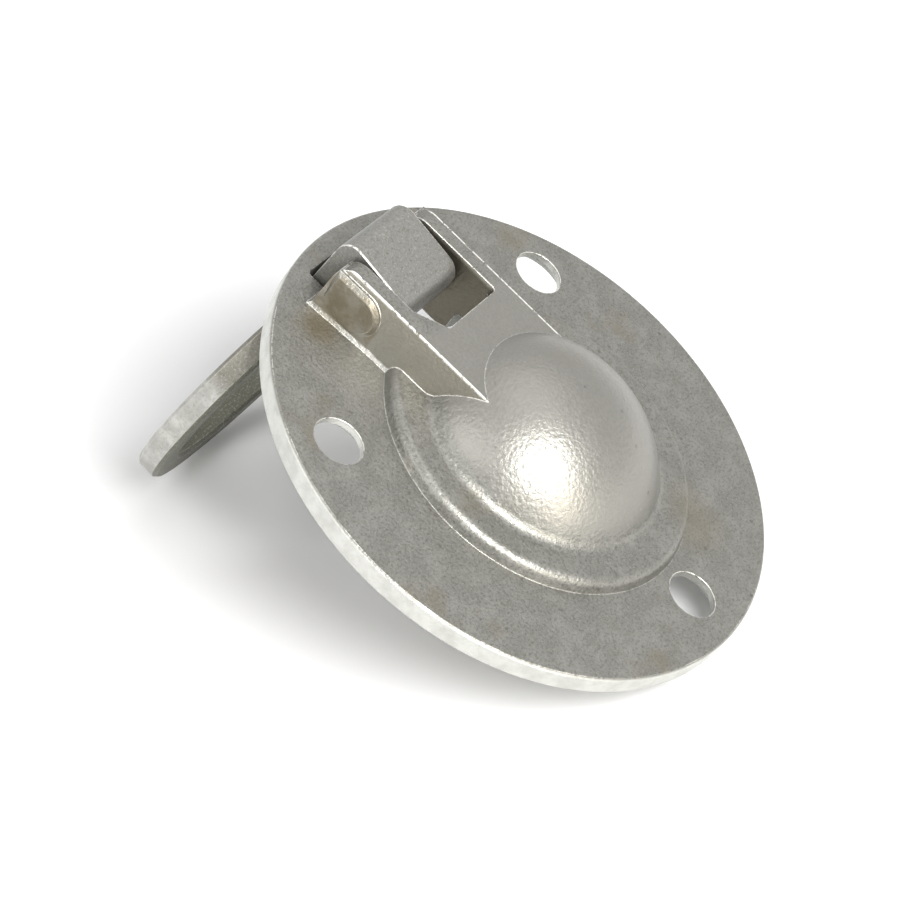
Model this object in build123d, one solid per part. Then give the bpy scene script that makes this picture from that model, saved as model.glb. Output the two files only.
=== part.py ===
"""Flush ring pull: a round cast flange with a finger cup, a ring that folds into it, and its hinge pin.

The front face looks up (+Z) as it does in a hatch, Z = 0 is the flange's back face, which seats on the
hatch, and the hinge lies along X on the +Y side of the cup.
"""

import os
from math import cos, radians, sin, sqrt

from build123d import *

# Flange, mm
flange_dia = 54.4
flange_thick = 2.5
front_edge_break = 0.4
back_edge_break = 0.2

# Countersunk screw holes, the first at the side away from the hinge
hole_dia = 5.1
hole_circle_dia = 43.8
hole_count = 3
sink_dia = 8.6

# Recess: a ledge for the ring and a round finger bowl below it
recess_y = -1.65
recess_dia = 31.3
ledge_depth = 0.2  # below the flange's back face
wall = 1.15
mouth_round = 0.3
rim_base_dia = 33.4  # outer wall of the rim where it leaves the flange
rim_top_dia = 32.4
rim_round = 1.0
rim_hollow = 1.4
bowl_centre_z = 5.4
bowl_outer_r = 14.3
bowl_lip_round = 0.6

# Hinge housing behind the flange
housing_height = 5.6
housing_top_w = 14.4
housing_base_w = 16.5  # at its outer end
housing_waist_w = 15.3  # at the crease in its sides
housing_end_y = 22.6
housing_crease_y = 15.4
housing_end_round = 1.8
housing_foot = 0.3  # the flare where it meets the flange
pocket_w = 10.75
pocket_corner = 0.5
window_end_y = 25.05  # at the flange's back, from where it narrows to the ring's stop at the front
slot_start_y = 11.6
slot_cut_across = 1.9  # the slanted inner corner of the slot
slot_cut_along = 3.4

# Round-ended pads on the housing's cheeks, around the pin's seats
pad_y = 18.6
pad_z = -2.6
pad_r = 2.35
pad_face_x = 8.05
pad_edge_break = 0.4

# Hinge pin
pin_y = 19.2
pin_z = -2.65
pin_dia = 3.0
pin_blind_end_x = 7.0
pin_open_end_x = -8.0
pin_break = 0.2
seat_end_gap = 0.1
running_fit = 0.05  # radial, the knuckle on the pin

# Ring, folded flat with its front face level with the flange's
ring_y = -2.2  # set back from the hinge, so that its shoulders swing clear of the recess
ring_outer_r = 14.75
ring_inner_r = 11.3
ring_thick = 2.5
ring_edge_break = 0.35
ring_float = 0.15  # to one side, in its end play on the pin
knuckle_w = 9.7
knuckle_end_front = 3.23  # from the pin's axis to the end, level with the front face
knuckle_end_back = 2.42  # and level with the knuckle's back
knuckle_back = 3.9  # from the pin's axis to the back
knuckle_throat = 3.9  # from the pin's axis to the side that faces the bowl
knuckle_front_round = 1.7
knuckle_back_round = 2.0
knuckle_inner_round = 2.7
throat_hollow = 0.8
open_angle = 93.4
stop_gap = 0.04

# Derived
ledge_z = -ledge_depth
rim_z = ledge_z - wall
bowl_inner_r = bowl_outer_r - wall
stop_lean = radians(open_angle - 90)
stop_reach = flange_thick - pin_z
stop_y = pin_y + stop_reach * (1 + sin(stop_lean)) / cos(stop_lean) + stop_gap


def rod(r, x0, x1):
    """A cylinder on the pin's axis from x0 to x1."""
    return Pos((x0 + x1) / 2, pin_y, pin_z) * Rot(0, 90, 0) * Cylinder(r, x1 - x0)


def rounded(face, corners):
    """Rounds corners of a flat outline, each given as (point, radius)."""
    for (x, y), radius in corners:
        near = face.vertices().sort_by(lambda v: (v.X - x) ** 2 + (v.Y - y) ** 2)
        face = fillet(near[0], radius)
    return face


def cup(points, ball_r, rounds):
    """Turns a half section about the recess's axis; it ends in a ball whose bottom closes it."""
    bottom = (0, bowl_centre_z - ball_r)
    side = (ball_r * sin(radians(30)), bowl_centre_z - ball_r * cos(radians(30)))
    outline = Polyline(*points) + ThreePointArc(points[-1], side, bottom) + Line(bottom, points[0])
    face = rounded(make_face(outline), rounds)
    return Pos(0, recess_y, 0) * revolve(Plane.XZ * face, Axis.Z)


def cup_outside():
    base, top = rim_base_dia / 2, rim_top_dia / 2
    lip = sqrt(bowl_outer_r**2 - (bowl_centre_z - rim_z) ** 2)
    points = [(0, 1), (base, 1), (base, 0), (top, rim_z), (lip, rim_z)]
    return cup(points, bowl_outer_r, [(points[3], rim_round), (points[4], rim_hollow)])


def cup_inside():
    side, front = recess_dia / 2, flange_thick
    lip = sqrt(bowl_inner_r**2 - (bowl_centre_z - ledge_z) ** 2)
    mouth = side + mouth_round
    points = [(0, front + 1), (mouth, front + 1), (mouth, front), (side, front - mouth_round)]
    points += [(side, ledge_z), (lip, ledge_z)]
    return cup(points, bowl_inner_r, [(points[5], bowl_lip_round)])


def flange():
    disc = Pos(0, 0, flange_thick / 2) * Cylinder(flange_dia / 2, flange_thick)
    disc = chamfer(disc.edges().filter_by(GeomType.CIRCLE).sort_by(Axis.Z)[-1], front_edge_break)
    return chamfer(disc.edges().filter_by(GeomType.CIRCLE).sort_by(Axis.Z)[0], back_edge_break)


def pads():
    """A U-section bar across the housing: its ends stand out as a pad on either cheek."""
    end = housing_end_y - 0.2
    outline = Pos(pad_y, pad_z) * Circle(pad_r)
    outline += Pos((pad_y + end) / 2, pad_z) * Rectangle(end - pad_y, 2 * pad_r)
    bar = Pos(-pad_face_x, 0, 0) * extrude(Plane.YZ * outline, 2 * pad_face_x)
    ends = bar.faces().sort_by(Axis.X)
    return chamfer(ends[0].edges() + ends[-1].edges(), pad_edge_break)


def hexagon(waist, base, end, z):
    """One level of the housing: straight from the bowl to the crease, and from there slightly wider."""
    bend, waist, base = housing_crease_y, waist / 2, base / 2
    half = [(waist, 0), (waist, bend), (base, end)]
    points = half + [(-x, y) for x, y in reversed(half)]
    return Pos(0, 0, z) * make_face(Polyline(*points, close=True))


def housing():
    """Loft with drafted cheeks and a flared foot, its outer end rounded at the back, with both pads."""
    waist, base, top, end = housing_waist_w, housing_base_w, housing_top_w, housing_end_y
    flare = housing_foot
    foot = hexagon(waist + 2 * flare, base + 2 * flare, end + flare, 0)
    ankle = hexagon(waist, base, end, -flare)
    block = loft([foot, ankle, hexagon(top, top, end, -housing_height)], ruled=True)
    ends = block.edges().filter_by(Axis.X).sort_by(Axis.Z)[0:2].sort_by(Axis.Y)
    return fillet(ends[-1], housing_end_round) + pads()


def pocket():
    """The hinge's room, open into the bowl, and the window through the flange, its far wall sloped."""
    roof, low = wall - housing_height, recess_y
    slope = (window_end_y - stop_y) / flange_thick
    profile = [
        (low, roof),
        (window_end_y, roof),
        (window_end_y, 0),
        (stop_y - slope, flange_thick + 1),
        (low, flange_thick + 1),
    ]
    block = extrude(Plane.YZ * make_face(Polyline(*profile, close=True)), pocket_w)
    ends = block.edges().filter_by(Axis.X, reverse=True).group_by(Axis.Y)[-2:]
    corners = [e for group in ends for e in group if abs(e.tangent_at(0).Z) > 0.5]
    return Pos(-pocket_w / 2, 0, 0) * fillet(corners, pocket_corner)


def slot():
    """The pocket's opening through the back of the housing, slanted at one inner corner."""
    w, start, end = pocket_w / 2, slot_start_y, housing_end_y + 1
    points = [(-w, start), (w - slot_cut_across, start), (w, start + slot_cut_along), (w, end), (-w, end)]
    face = rounded(make_face(Polyline(*points, close=True)), [(points[0], pocket_corner)])
    return Pos(0, 0, -housing_height - 1) * extrude(face, wall + 1.5)


def screw_hole():
    depth = (sink_dia - hole_dia) / 2
    cone = Pos(0, 0, flange_thick - depth / 2) * Cone(hole_dia / 2, sink_dia / 2, depth)
    return cone + Cylinder(hole_dia / 2, 3 * flange_thick)


def cup_body():
    body = flange() + housing() + cup_outside()
    body -= cup_inside()
    body -= pocket() + slot()
    reach = hole_circle_dia / 2
    for i in range(hole_count):
        turn = radians(-90 + i * 360 / hole_count)
        body -= Pos(reach * cos(turn), reach * sin(turn), 0) * screw_hole()
    return body - rod(pin_dia / 2, -12, pin_blind_end_x)


def hinge_pin():
    pin = rod(pin_dia / 2, pin_open_end_x, pin_blind_end_x - seat_end_gap)
    return chamfer(pin.edges().filter_by(GeomType.CIRCLE), pin_break)


def knuckle():
    """The tongue and knuckle behind the ring, drawn folded flat in the YZ plane."""
    front, back, low = flange_thick, flange_thick - ring_thick, pin_z - knuckle_back
    root = ring_y + (ring_outer_r + ring_inner_r) / 2 - 0.5
    throat = pin_y - knuckle_throat
    points = [
        (root, front),
        (pin_y + knuckle_end_front, front),
        (pin_y + knuckle_end_back, low),
        (throat, low),
        (throat, back),
        (root, back),
    ]
    sizes = [knuckle_front_round, knuckle_back_round, knuckle_inner_round, throat_hollow]
    face = rounded(make_face(Polyline(*points, close=True)), list(zip(points[1:5], sizes)))
    return Pos(-knuckle_w / 2, 0, 0) * extrude(Plane.YZ * face, knuckle_w)


def pull_ring():
    middle = flange_thick - ring_thick / 2
    hoop = Cylinder(ring_outer_r, ring_thick) - Cylinder(ring_inner_r, ring_thick + 1)
    hoop = chamfer(hoop.edges().filter_by(GeomType.CIRCLE), ring_edge_break)
    ring = Pos(0, ring_y, middle) * hoop + knuckle()
    ring -= rod(pin_dia / 2 + running_fit, -10, 10)
    return Pos(ring_float, 0, 0) * ring


def opened(shape, angle):
    """Turns a shape about the hinge pin from folded flat to standing open."""
    return Pos(0, pin_y, pin_z) * Rot(-angle, 0, 0) * Pos(0, -pin_y, -pin_z) * shape


if __name__ == "__main__":
    os.makedirs("parts", exist_ok=True)
    parts = {
        "cup_body": cup_body(),
        "hinge_pin": hinge_pin(),
        "pull_ring": opened(pull_ring(), open_angle),
    }
    for name, shape in parts.items():
        export_step(shape, f"parts/{name}.step")
        size = shape.bounding_box()
        print(name, round(shape.volume, 1), size.min, size.max, len(shape.solids()))
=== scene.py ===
from math import radians

import bpy
from mathutils import Euler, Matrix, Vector

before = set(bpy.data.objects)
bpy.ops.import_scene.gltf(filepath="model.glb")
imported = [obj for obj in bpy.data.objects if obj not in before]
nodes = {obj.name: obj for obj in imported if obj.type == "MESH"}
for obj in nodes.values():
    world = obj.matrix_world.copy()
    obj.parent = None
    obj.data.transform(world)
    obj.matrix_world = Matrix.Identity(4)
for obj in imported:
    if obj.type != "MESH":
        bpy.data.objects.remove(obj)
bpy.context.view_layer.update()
mm = 0.001  # a millimetre in Blender's metres


class Tree:
    # A node tree, with short calls for the nodes used below
    def __init__(self, tree):
        self.tree = tree

    def add(self, kind, **settings):
        node = self.tree.nodes.new(kind)
        for key, value in settings.items():
            setattr(node, key, value)
        return node

    def link(self, a, b):
        self.tree.links.new(a, b)

    def put(self, value, socket):
        # The value is another node's output, or a plain number or colour
        if hasattr(value, "is_output"):
            self.link(value, socket)
        else:
            socket.default_value = value

    def math(self, operation, a, b=0.0):
        node = self.add("ShaderNodeMath", operation=operation)
        self.put(a, node.inputs[0])
        self.put(b, node.inputs[1])
        return node.outputs[0]

    def times(self, first, *others):
        for other in others:
            first = self.math("MULTIPLY", first, other)
        return first

    def without(self, value, mask):
        # The value where the mask is 0, fading to nothing where it is 1
        return self.times(value, self.math("SUBTRACT", 1.0, mask))

    def ramp(self, value, low, high, toLow=0.0, toHigh=1.0, kind="SMOOTHSTEP"):
        node = self.add("ShaderNodeMapRange", interpolation_type=kind)
        self.put(value, node.inputs["Value"])
        node.inputs["From Min"].default_value = low
        node.inputs["From Max"].default_value = high
        node.inputs["To Min"].default_value = toLow
        node.inputs["To Max"].default_value = toHigh
        return node.outputs["Result"]

    def seenBy(self, first, *others):
        # 1 for the kinds of ray that are named, 0 for the rest
        rays = self.add("ShaderNodeLightPath").outputs
        seen = rays[f"Is {first} Ray"]
        for other in others:
            seen = self.math("MAXIMUM", seen, rays[f"Is {other} Ray"])
        return seen


class Surface(Tree):
    # A piece's material, with places given in the object's own millimetres
    def __init__(self, name):
        self.material = bpy.data.materials.new(name)
        self.material.use_nodes = True
        super().__init__(self.material.node_tree)
        self.tree.nodes.clear()
        coords = self.add("ShaderNodeTexCoord")
        self.geometry = self.add("ShaderNodeNewGeometry")
        toMm = self.add("ShaderNodeMapping")
        toMm.inputs["Scale"].default_value = (1 / mm,) * 3
        self.link(coords.outputs["Object"], toMm.inputs["Vector"])
        self.place = toMm.outputs["Vector"]
        self.x, self.y, self.z = self.split(self.place)
        self.facingX, self.facingY, self.facingZ = self.split(coords.outputs["Normal"])

    def split(self, vector):
        node = self.add("ShaderNodeSeparateXYZ")
        self.link(vector, node.inputs[0])
        return node.outputs

    def noise(self, perMm, detail, rough):
        node = self.add("ShaderNodeTexNoise")
        node.inputs["Scale"].default_value = perMm
        node.inputs["Detail"].default_value = detail
        node.inputs["Roughness"].default_value = rough
        self.link(self.place, node.inputs["Vector"])
        return node.outputs["Fac"]

    def cells(self, perMm):
        node = self.add("ShaderNodeTexVoronoi")
        node.inputs["Scale"].default_value = perMm
        self.link(self.place, node.inputs["Vector"])
        return node.outputs["Distance"]

    def mix(self, amount, a, b):
        node = self.add("ShaderNodeMix", data_type="RGBA")
        self.put(amount, node.inputs[0])
        self.put(a, node.inputs[6])
        self.put(b, node.inputs[7])
        return node.outputs[2]

    def near(self, axis, centre, half, soft):
        # 1 inside centre plus or minus half along one axis, fading to 0 over soft
        away = self.math("ABSOLUTE", self.math("SUBTRACT", axis, centre))
        return self.ramp(away, half, half + soft, 1.0, 0.0)

    def spot(self, centre, radius, soft):
        # 1 within radius of a point, fading to 0 over soft
        node = self.add("ShaderNodeVectorMath", operation="DISTANCE")
        self.link(self.place, node.inputs[0])
        node.inputs[1].default_value = centre
        return self.ramp(node.outputs["Value"], radius, radius + soft, 1.0, 0.0)

    def edges(self, radius, low, high):
        # 1 along sharp edges, where a rounded normal departs from the flat one
        bevel = self.add("ShaderNodeBevel", samples=6)
        bevel.inputs["Radius"].default_value = radius * mm
        dot = self.add("ShaderNodeVectorMath", operation="DOT_PRODUCT")
        self.link(bevel.outputs[0], dot.inputs[0])
        self.link(self.geometry.outputs["Normal"], dot.inputs[1])
        return self.ramp(dot.outputs["Value"], high, low), bevel.outputs[0]

    def bump(self, height, strength, distance, normal):
        node = self.add("ShaderNodeBump")
        node.inputs["Strength"].default_value = strength
        node.inputs["Distance"].default_value = distance * mm
        self.link(height, node.inputs["Height"])
        self.link(normal, node.inputs["Normal"])
        return node.outputs[0]

    def finish(self, colour, rough, metal, normal):
        shader = self.add("ShaderNodeBsdfPrincipled")
        shader.inputs["Metallic"].default_value = metal
        self.put(colour, shader.inputs["Base Color"])
        self.put(rough, shader.inputs["Roughness"])
        self.link(normal, shader.inputs["Normal"])
        out = self.add("ShaderNodeOutputMaterial")
        self.link(shader.outputs[0], out.inputs["Surface"])
        return self.material


# In the tables of the three pieces, lengths are in mm, and
# a noise is: cells per mm, detail, roughness
# a ramp is: from, to, and then what it gives at each, when that isn't 0 and 1
# a band is: middle, half width, fade
# a spot is: point, radius, fade
# a bump is: strength, depth
# edges are: radius, where they are full, where they end

# Cast cup, with a raw cast back and a smoothed front and rim
cast = {
    "grey": (0.214, 0.212, 0.192, 1),
    "pale": (0.305, 0.300, 0.276, 1),
    "dark": (0.110, 0.107, 0.090, 1),
    "stain": (0.205, 0.175, 0.120, 1),
    "dome": (0.270, 0.262, 0.238, 1),
    "rim": (0.600, 0.605, 0.570, 1),
    "front": (0.500, 0.500, 0.470, 1),
    "pocket": (0.125, 0.115, 0.090, 1),
    "cheek": (0.400, 0.375, 0.315, 1),
    "edge": (0.920, 0.905, 0.850, 1),
    "metal": 0.80,

    "mottleNoise": (0.40, 5, 0.65),
    "grainNoise": (3.2, 4, 0.75),
    "speckNoise": (4.5, 4, 0.8),
    "peelNoise": (2.5, 2, 0.5),
    "stainNoise": (0.11, 4, 0.6),
    "brushNoise": (0.5, 3, 0.6),
    "breakNoise": (1.6, 3, 0.7),
    "patchNoise": (0.2, 2, 0.5),
    "pitsPerMm": 0.33,

    "mottleRamp": (0.38, 0.68, 0.0, 0.6),
    "grainRamp": (0.52, 0.36, 0.0, 0.55),
    "speckRamp": (0.52, 0.64, 0.0, 0.85),
    "stainRamp": (0.56, 0.72),
    "pitRamp": (0.045, 0.09, 1.0, 0.0),
    "brushRamp": (0.35, 0.7, 0.0, 0.35),
    "breakRamp": (0.36, 0.50),
    "patchRamp": (0.55, 0.62, 0.75, 0.0),
    "padRamp": (0.4, 0.6, 0.1, 0.7),
    "roughRamp": (0.3, 0.7, 0.34, 0.46),
    "domeRough": (0.0, 1.0, 0.0, -0.03),

    "domeZ": (-1.9, -3.2),
    "domeY": (13.0, 11.5),
    "cheekFacing": (0.80, 0.95),
    "cheekY": (14.0, 9.0, 1.0),
    "rimZ": (0.03, 0.22),
    "frontFacing": (0.15, 0.45),
    "flatFacing": (0.3, 0.8),
    "insideX": (0.0, 5.42, 0.05),
    "insideY": (18.0, 6.6, 0.5),
    "pocketZ": (-5.5, -5.0),
    "outerSquared": (690, 710),  # of the distance from the axis
    "padX": (7.9, 0.35, 0.2),
    "padZ": (-2.6, 2.2, 0.2),
    "padY": (19.4, 3.2, 0.3),
    "rootZ": (0.0, 0.25, 0.1),
    "rootSpot": ((0, -1.65, 0), 17.0, 0.3),
    "brinkX": (7.17, 0.13, 0.06),
    "brinkZ": (-5.3, -5.5),
    "brinkY": (13.1, 8.4, 0.4),
    "paintedGlow": ((9.6, 14.6, 0), 1.2, 4.5),
    "footStain": ((9.8, 20.2, 0), 0.5, 2.4),
    "holeStain": ((-7.7, -16.9, 0), 1.0, 4.0),

    "stainAmount": 0.45,
    "domeAmount": 0.75,
    "pitAmount": 0.6,
    "cheekAmount": 0.7,
    "paintedGlowAmount": 0.6,
    "footStainAmount": 0.7,
    "holeStainAmount": 0.4,
    "padQuiet": 0.7,
    "rootQuiet": 0.75,

    "edges": (0.20, 0.86, 0.985),
    "peelBump": (0.50, 0.12),
    "grainBump": (0.35, 0.05),
    "pitBump": (-0.5, 0.08),
}


def castCup():
    t = Surface("castCup")
    mottle = t.noise(*cast["mottleNoise"])
    grain = t.noise(*cast["grainNoise"])
    speck = t.noise(*cast["speckNoise"])
    peel = t.noise(*cast["peelNoise"])

    # the back of the flange, the housing and the bowl's outside
    colour = t.mix(t.ramp(mottle, *cast["mottleRamp"]), cast["grey"], cast["pale"])
    colour = t.mix(t.ramp(grain, *cast["grainRamp"]), colour, cast["dark"])
    colour = t.mix(t.ramp(speck, *cast["speckRamp"]), colour, cast["pale"])
    stains = t.ramp(t.noise(*cast["stainNoise"]), *cast["stainRamp"])
    colour = t.mix(t.times(stains, cast["stainAmount"]), colour, cast["stain"])
    dome = t.times(t.ramp(t.z, *cast["domeZ"]), t.ramp(t.y, *cast["domeY"]))
    colour = t.mix(t.times(dome, cast["domeAmount"]), colour, cast["dome"])
    pits = t.ramp(t.cells(cast["pitsPerMm"]), *cast["pitRamp"])
    colour = t.mix(t.times(pits, cast["pitAmount"]), colour, cast["dark"])

    # the housing's cheeks get painted light: a paler, warm colour where they face sideways
    cheek = t.ramp(t.math("ABSOLUTE", t.facingX), *cast["cheekFacing"])
    cheek = t.times(cheek, t.near(t.y, *cast["cheekY"]), cast["cheekAmount"])
    colour = t.mix(cheek, colour, cast["cheek"])

    # beside its foot the metal gets a soft pool of painted light, and it is stained there,
    # as it is by one screw hole
    for place, tone in (("paintedGlow", "pale"), ("footStain", "stain"), ("holeStain", "stain")):
        amount = t.times(t.spot(*cast[place]), cast[place + "Amount"])
        colour = t.mix(amount, colour, cast[tone])

    # the rim and the front are smoother and brighter than the back
    inside = t.times(t.near(t.x, *cast["insideX"]), t.near(t.y, *cast["insideY"]))
    front = t.ramp(t.facingZ, *cast["frontFacing"])
    front = t.without(t.math("MAXIMUM", t.ramp(t.z, *cast["rimZ"]), front), inside)
    brushed = t.ramp(t.noise(*cast["brushNoise"]), *cast["brushRamp"])
    smooth = t.mix(t.ramp(t.facingZ, *cast["flatFacing"]), cast["rim"], cast["front"])
    colour = t.mix(front, colour, t.mix(brushed, smooth, cast["pale"]))
    # inside the housing's pocket the colour is dark: painted shade in the recess
    pocket = t.times(inside, t.ramp(t.z, *cast["pocketZ"]))
    colour = t.mix(pocket, colour, cast["pocket"])

    # bright burrs and painted glints along the sharp edges, broken up, and fewer of them
    # round the flange
    edge, rounded = t.edges(*cast["edges"])
    broken = t.ramp(t.noise(*cast["breakNoise"]), *cast["breakRamp"])
    burrGlint = t.times(edge, broken)
    squared = t.math("ADD", t.times(t.x, t.x), t.times(t.y, t.y))
    outer = t.ramp(squared, *cast["outerSquared"])
    patchy = t.ramp(t.noise(*cast["patchNoise"]), *cast["patchRamp"])
    burrGlint = t.without(burrGlint, t.times(outer, patchy))

    # the pads and the root of the bowl have less of them, the housing's brink has more
    across = t.math("ABSOLUTE", t.x)
    pad = t.times(
        t.near(across, *cast["padX"]),
        t.near(t.z, *cast["padZ"]),
        t.near(t.y, *cast["padY"]),
    )
    burrGlint = t.without(burrGlint, t.times(pad, cast["padQuiet"]))
    padStain = t.times(pad, t.ramp(mottle, *cast["padRamp"]))
    colour = t.mix(padStain, colour, cast["stain"])
    root = t.times(t.near(t.z, *cast["rootZ"]), t.spot(*cast["rootSpot"]))
    burrGlint = t.without(burrGlint, t.times(root, cast["rootQuiet"]))
    brink = t.times(
        t.near(across, *cast["brinkX"]),
        t.ramp(t.z, *cast["brinkZ"]),
        t.near(t.y, *cast["brinkY"]),
    )
    burrGlint = t.math("MAXIMUM", burrGlint, t.times(brink, broken))
    colour = t.mix(burrGlint, colour, cast["edge"])

    rough = t.ramp(grain, *cast["roughRamp"])
    rough = t.math("ADD", rough, t.ramp(dome, *cast["domeRough"]))
    normal = t.bump(peel, *cast["peelBump"], rounded)
    normal = t.bump(grain, *cast["grainBump"], normal)
    normal = t.bump(pits, *cast["pitBump"], normal)
    return t.finish(colour, rough, cast["metal"], normal)


# Ring and its knuckle, placed as the ring stands at rest
ringLook = {
    "pale": (0.520, 0.515, 0.485, 1),
    "grey": (0.380, 0.375, 0.348, 1),
    "olive": (0.150, 0.150, 0.118, 1),
    "dark": (0.190, 0.180, 0.145, 1),
    "knuckle": (0.262, 0.258, 0.240, 1),
    "nickGlint": (0.850, 0.840, 0.800, 1),
    "metal": 0.80,

    "mottleNoise": (0.40, 5, 0.65),
    "grainNoise": (3.2, 4, 0.75),
    "fineNoise": (7.0, 3, 0.7),
    "speckNoise": (4.5, 4, 0.8),
    "breakNoise": (1.3, 3, 0.7),
    "peelNoise": (2.0, 2, 0.5),

    "mottleRamp": (0.40, 0.64),
    "grainRamp": (0.48, 0.28, 0.0, 0.25),
    "fineRamp": (0.55, 0.75, 0.0, 0.35),
    "spotRamp": (0.50, 0.36),
    "speckRamp": (0.53, 0.64, 0.0, 0.4),
    "breakRamp": (0.36, 0.50),
    "roughRamp": (0.3, 0.7, 0.38, 0.52),

    "darkZ": (12.5, 10.0, 0.0, 0.8),
    "spotZ": (12.5, 10.0, 0.12, 0.6),
    "backFacing": (-0.35, -0.75),
    "bore": ((0.15, 24.4, 18.5), 11.5, 0.4),
    "knuckleZ": (3.5, 2.5),
    "burrGlintZ": (3.0, 6.0, 1.0, 0.45),
    "brinkX": (5.0, 0.18, 0.06),
    "brinkZ": (-2.0, -2.4),
    "brinkFacing": (0.5, 0.3),

    "edges": (0.24, 0.86, 0.985),
    "peelBump": (0.25, 0.10),
    "grainBump": (0.35, 0.05),
}


def castRing():
    t = Surface("castRing")
    mottle = t.noise(*ringLook["mottleNoise"])
    grain = t.noise(*ringLook["grainNoise"])
    fine = t.noise(*ringLook["fineNoise"])

    # pale metal, darker towards the knuckle, on the back and in the bore
    colour = t.ramp(mottle, *ringLook["mottleRamp"])
    colour = t.mix(colour, ringLook["grey"], ringLook["pale"])
    colour = t.mix(t.ramp(grain, *ringLook["grainRamp"]), colour, ringLook["olive"])
    colour = t.mix(t.ramp(fine, *ringLook["fineRamp"]), colour, ringLook["pale"])
    colour = t.mix(t.ramp(t.z, *ringLook["darkZ"]), colour, ringLook["dark"])
    back = t.ramp(t.facingY, *ringLook["backFacing"])
    shade = t.math("MAXIMUM", back, t.spot(*ringLook["bore"]))
    colour = t.mix(shade, colour, ringLook["olive"])
    colour = t.mix(t.ramp(t.z, *ringLook["knuckleZ"]), colour, ringLook["knuckle"])
    spots = t.times(t.ramp(grain, *ringLook["spotRamp"]), t.ramp(t.z, *ringLook["spotZ"]))
    colour = t.mix(spots, colour, ringLook["olive"])
    speck = t.ramp(t.noise(*ringLook["speckNoise"]), *ringLook["speckRamp"])
    colour = t.mix(speck, colour, ringLook["pale"])

    # nicks and painted glints along the sharp edges, most of all on the knuckle
    edge, rounded = t.edges(*ringLook["edges"])
    broken = t.ramp(t.noise(*ringLook["breakNoise"]), *ringLook["breakRamp"])
    burrGlint = t.times(edge, t.ramp(t.z, *ringLook["burrGlintZ"]))
    brink = t.times(
        t.near(t.x, *ringLook["brinkX"]),
        t.ramp(t.z, *ringLook["brinkZ"]),
        t.ramp(t.facingX, *ringLook["brinkFacing"]),
    )
    burrGlint = t.times(t.math("MAXIMUM", burrGlint, brink), broken)
    colour = t.mix(burrGlint, colour, ringLook["nickGlint"])

    rough = t.ramp(grain, *ringLook["roughRamp"])
    peel = t.noise(*ringLook["peelNoise"])
    normal = t.bump(peel, *ringLook["peelBump"], rounded)
    normal = t.bump(grain, *ringLook["grainBump"], normal)
    return t.finish(colour, rough, ringLook["metal"], normal)


# Hinge pin
pinLook = {
    "steel": (0.420, 0.415, 0.400, 1),
    "worn": (0.640, 0.630, 0.600, 1),
    "dark": (0.120, 0.118, 0.105, 1),
    "metal": 0.85,
    "scratchNoise": (3.0, 3, 0.6),
    "grimeNoise": (0.8, 4, 0.6),
    "scratchRamp": (0.4, 0.65),
    "grimeRamp": (0.5, 0.7, 0.0, 0.7),
    "roughRamp": (0.3, 0.7, 0.25, 0.45),
    "edges": (0.15, 0.80, 0.97),
    "edgeAmount": 0.6,
    "scratchBump": (0.2, 0.05),
}


def pinSteel():
    t = Surface("pinSteel")
    scratches = t.noise(*pinLook["scratchNoise"])
    grime = t.noise(*pinLook["grimeNoise"])
    worn = t.ramp(scratches, *pinLook["scratchRamp"])
    colour = t.mix(worn, pinLook["steel"], pinLook["worn"])
    colour = t.mix(t.ramp(grime, *pinLook["grimeRamp"]), colour, pinLook["dark"])
    edge, rounded = t.edges(*pinLook["edges"])
    colour = t.mix(t.times(edge, pinLook["edgeAmount"]), colour, pinLook["worn"])
    rough = t.ramp(grime, *pinLook["roughRamp"])
    normal = t.bump(scratches, *pinLook["scratchBump"], rounded)
    return t.finish(colour, rough, pinLook["metal"], normal)


finishes = {"cup_body": castCup(), "pull_ring": castRing(), "hinge_pin": pinSteel()}
for name, material in finishes.items():
    for slot in nodes[name].material_slots:
        slot.material = material
print("finishes done:", ", ".join(finishes))


# Floor, which the plate's rim and the ring's tip both touch
floorLook = {
    "normal": (0.113, 0.509, -0.853),
    "drop": 16.31,  # mm from the centre of the flange's back to the floor
    "size": 0.9,
    "cuts": 8,
    "colour": (0.86, 0.86, 0.86, 1),
    "lift": 0.07,  # glow that only the camera and reflections see, near the object
    "open": 0.60,  # the same further out, so that the open floor is white
    "nearM": 0.040,
    "farM": 0.110,
}


def floorMaterial():
    material = bpy.data.materials.new("studioFloor")
    material.use_nodes = True
    t = Tree(material.node_tree)
    t.tree.nodes.clear()
    matt = t.add("ShaderNodeBsdfDiffuse")
    matt.inputs["Color"].default_value = floorLook["colour"]
    seen = t.seenBy("Camera", "Glossy")
    away = t.add("ShaderNodeVectorMath", operation="LENGTH")
    t.link(t.add("ShaderNodeTexCoord").outputs["Object"], away.inputs[0])
    reach = floorLook["nearM"], floorLook["farM"]
    levels = floorLook["lift"], floorLook["open"]
    lift = t.ramp(away.outputs["Value"], *reach, *levels, kind="LINEAR")
    glow = t.add("ShaderNodeEmission")
    t.link(t.times(seen, lift), glow.inputs["Strength"])
    both = t.add("ShaderNodeAddShader")
    t.link(matt.outputs[0], both.inputs[0])
    t.link(glow.outputs[0], both.inputs[1])

    # the floor is clear from below, so that views from there still show the object
    clear = t.add("ShaderNodeBsdfTransparent")
    side = t.add("ShaderNodeNewGeometry")
    pick = t.add("ShaderNodeMixShader")
    t.link(side.outputs["Backfacing"], pick.inputs[0])
    t.link(both.outputs[0], pick.inputs[1])
    t.link(clear.outputs[0], pick.inputs[2])
    out = t.add("ShaderNodeOutputMaterial")
    t.link(pick.outputs[0], out.inputs["Surface"])
    return material


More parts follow.
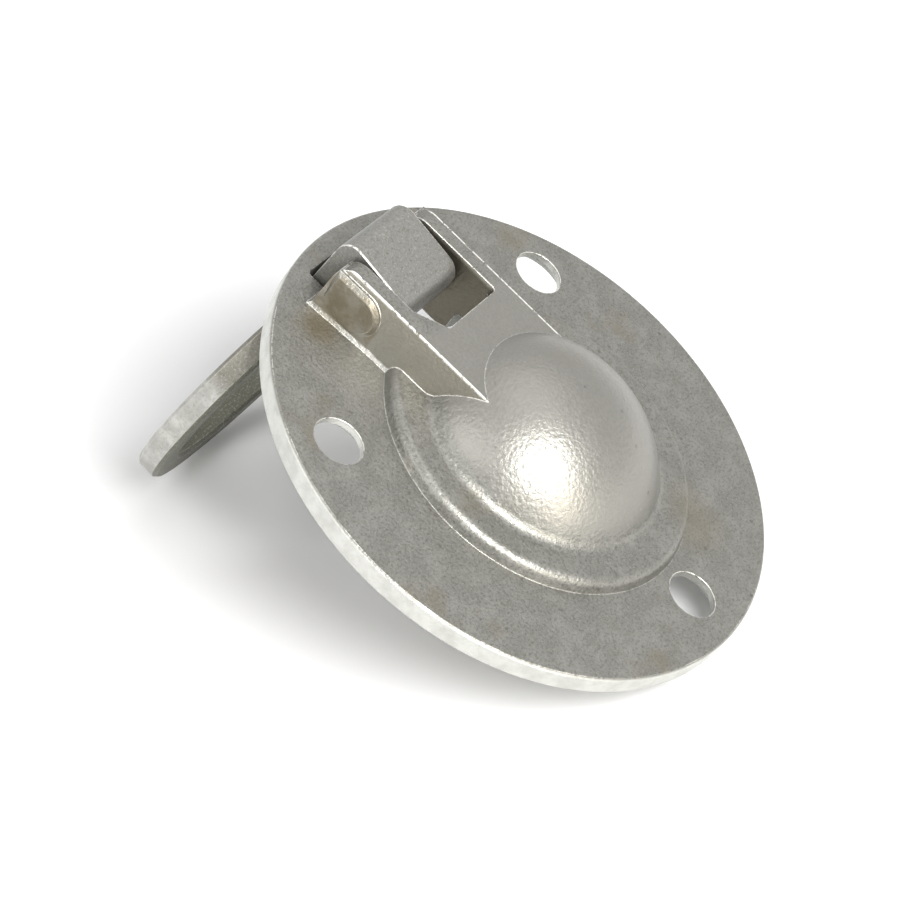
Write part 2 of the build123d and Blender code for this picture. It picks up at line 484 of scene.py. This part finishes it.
def addFloor():
    up = Vector(floorLook["normal"]).normalized()
    cuts = floorLook["cuts"]
    bpy.ops.mesh.primitive_grid_add(
        size=floorLook["size"], x_subdivisions=cuts, y_subdivisions=cuts)
    floor = bpy.context.object
    floor.name = "studioFloor"
    floor.rotation_mode = "QUATERNION"
    floor.rotation_quaternion = up.to_track_quat("Z", "Y")
    floor.location = up * -floorLook["drop"] * mm
    floor.data.materials.append(floorMaterial())


addFloor()

# Lamps, each looking at the flange's centre, with distances and sizes in metres
lampTable = {
    "frontLamp": {
        "toward": (0.420, -0.250, -0.872), "far": 0.42, "size": 0.24, "watts": 2.40,
    },
    "lowLamp": {
        "toward": (0.380, -0.700, -0.600), "far": 0.45, "size": 0.20, "watts": 0.55,
        "tint": (1, 0.92, 0.78),
    },
    "leftLamp": {
        "toward": (0.678, 0.629, -0.380), "far": 0.60, "size": 0.45, "watts": 1.00,
    },
    "topLamp": {
        "toward": (-0.217, 0.461, -0.857), "far": 0.55, "size": 0.50, "watts": 0.50,
    },
}
white = (1, 1, 1)


def addLamp(name, one):
    data = bpy.data.lights.new(name, "AREA")
    data.shape = "DISK"
    data.size = one["size"]
    data.energy = one["watts"]
    data.color = one.get("tint", white)
    lamp = bpy.data.objects.new(name, data)
    bpy.context.scene.collection.objects.link(lamp)
    away = Vector(one["toward"]).normalized()
    lamp.location = away * one["far"]
    lamp.rotation_mode = "QUATERNION"
    lamp.rotation_quaternion = away.to_track_quat("Z", "Y")


for name, one in lampTable.items():
    addLamp(name, one)

# Room, dimmer as a light than it looks to the camera and in reflections
roomLook = {"diffuse": 0.30, "seen": 1.0}


def addWorld():
    world = bpy.data.worlds.new("studioRoom")
    bpy.context.scene.world = world
    world.use_nodes = True
    t = Tree(world.node_tree)
    background = t.tree.nodes["Background"]
    background.inputs["Color"].default_value = (*white, 1)
    seen = t.seenBy("Camera", "Glossy", "Transmission")
    levels = roomLook["diffuse"], roomLook["seen"]
    t.link(t.ramp(seen, 0.0, 1.0, *levels, kind="LINEAR"), background.inputs["Strength"])


addWorld()
print("floor and light done")

# Camera, behind the plate and low over the floor, placed in mm and turned in degrees
cameraSet = {
    "place": (216.178, -13.374, -184.478),
    "turn": (-139.73, 29.461, -124.835),
    "lens": 120,
    "sensor": 36,
    "clipM": (0.01, 10),
}


def addCamera():
    data = bpy.data.cameras.new("studioCamera")
    data.lens = cameraSet["lens"]
    data.sensor_width = cameraSet["sensor"]
    data.clip_start, data.clip_end = cameraSet["clipM"]
    camera = bpy.data.objects.new("studioCamera", data)
    bpy.context.scene.collection.objects.link(camera)
    camera.location = Vector(cameraSet["place"]) * mm
    camera.rotation_euler = Euler([radians(a) for a in cameraSet["turn"]], "XYZ")
    bpy.context.scene.camera = camera


addCamera()
bpy.context.scene.view_settings.view_transform = "Standard"
print("camera done")
